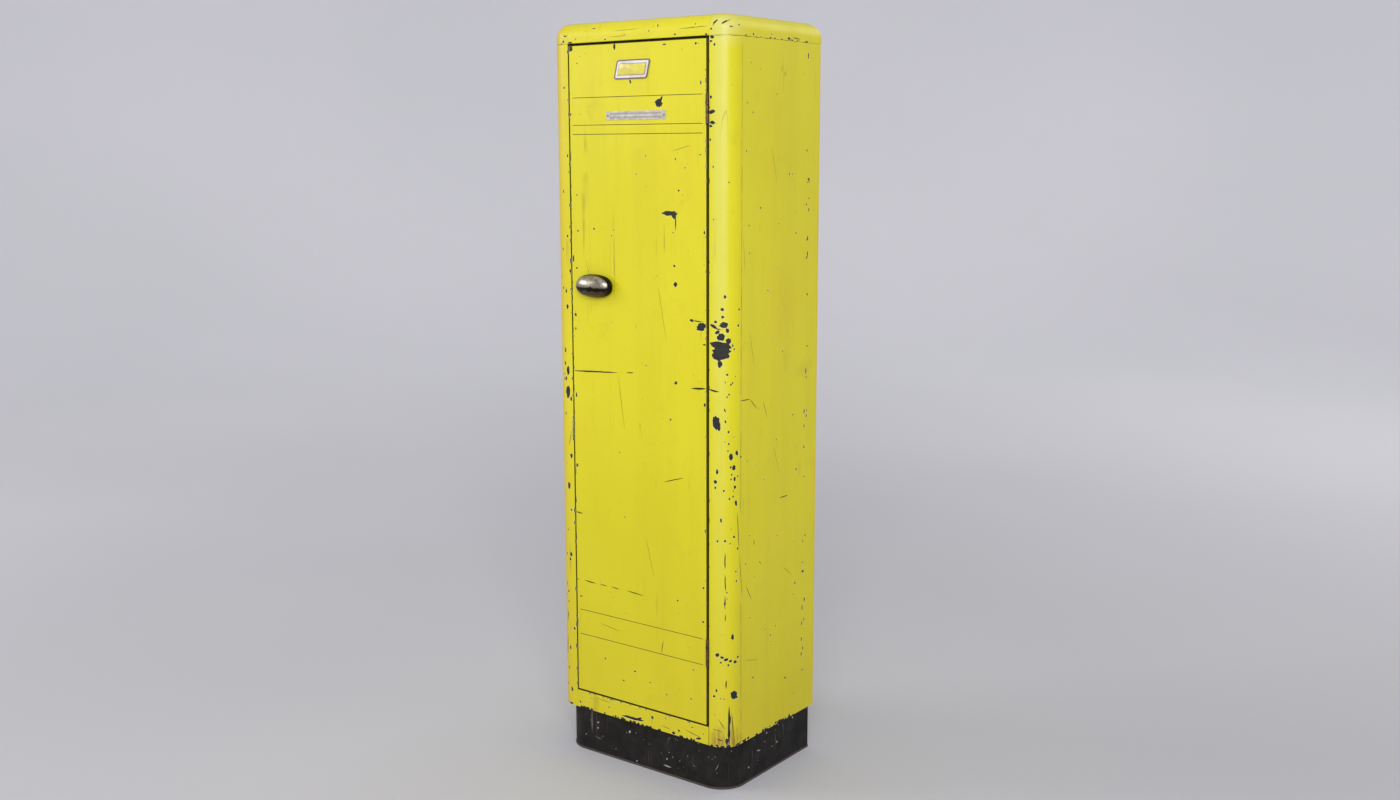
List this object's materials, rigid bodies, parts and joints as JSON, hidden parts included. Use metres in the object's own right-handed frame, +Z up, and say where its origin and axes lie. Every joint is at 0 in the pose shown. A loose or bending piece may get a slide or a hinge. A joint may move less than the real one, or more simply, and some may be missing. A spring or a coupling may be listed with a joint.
{
  "type": "steel locker",
  "caption": "Tall narrow single-door sheet-steel locker with rounded front corners, a black plinth, a hinged door, an oval turning knob, a hat shelf and a coat rail.",
  "frame": {"origin": "centre of the carcass footprint, on the floor plane under the plinth", "axes": "+Z up; the door faces -Y; +X is towards the hinges, on the right as the door is faced"},
  "size_m": [0.5, 0.3833, 1.7],
  "materials": {
    "yellow_paint": "old semi-gloss paint, chipped and scratched",
    "black_paint": "satin black paint, scuffed",
    "hinge_steel": "bare steel with brown wear and traces of paint",
    "worn_steel": "dull worn steel",
    "bright_steel": "drawn steel tube, lightly tarnished",
    "aged_nickel": "old plating worn brown",
    "black_rubber": "matt",
    "enamel_badge": "gloss enamel with a raised rim",
    "label_metal": "dull, lightly ribbed"
  },
  "bodies": {
    "carcass": {"left_side_panel": "yellow_paint", "right_side_panel": "yellow_paint", "back_panel": "yellow_paint", "top_cap": "yellow_paint", "header_rail": "yellow_paint", "bottom_rail": "yellow_paint", "floor_pan": "yellow_paint", "hat_shelf": "yellow_paint", "shelf_bracket_left": "yellow_paint", "shelf_bracket_right": "yellow_paint", "plinth": "black_paint", "coat_rail": "bright_steel", "rail_socket_left": "bright_steel", "rail_socket_right": "bright_steel", "upper_hinge_frame_leaf": "hinge_steel", "lower_hinge_frame_leaf": "hinge_steel", "upper_hinge_pin": "worn_steel", "lower_hinge_pin": "worn_steel", "frame_hinge_rivets": "worn_steel", "latch_keeper": "worn_steel", "door_buffers": "black_rubber"},
    "door": {"door_skin": "yellow_paint", "upper_stiffener": "yellow_paint", "lower_stiffener": "yellow_paint", "lock_stile": "yellow_paint", "upper_hinge_door_leaf": "hinge_steel", "lower_hinge_door_leaf": "hinge_steel", "door_hinge_rivets": "worn_steel", "knob_rose": "aged_nickel", "latch_bush": "worn_steel", "badge_plate": "enamel_badge", "label_plate": "label_metal", "badge_pins": "worn_steel", "label_pins": "worn_steel"},
    "knob_latch": {"knob": "aged_nickel", "knob_grub_screw": "worn_steel", "latch_spindle": "worn_steel", "latch_cam": "worn_steel", "spindle_washer": "worn_steel", "spindle_nut": "worn_steel"}
  },
  "joints": [
    {"name": "door_hinge", "type": "hinge", "parent": "carcass", "child": "door", "pos_m": [0.1935, -0.176, 0.9], "axis": [0, 0, 1], "range_deg": [0, 160]},
    {"name": "knob_turn", "type": "hinge", "parent": "door", "child": "knob_latch", "pos_m": [-0.116, -0.186, 1.122], "axis": [0, 1, 0], "range_deg": [0, 90]}
  ]
}
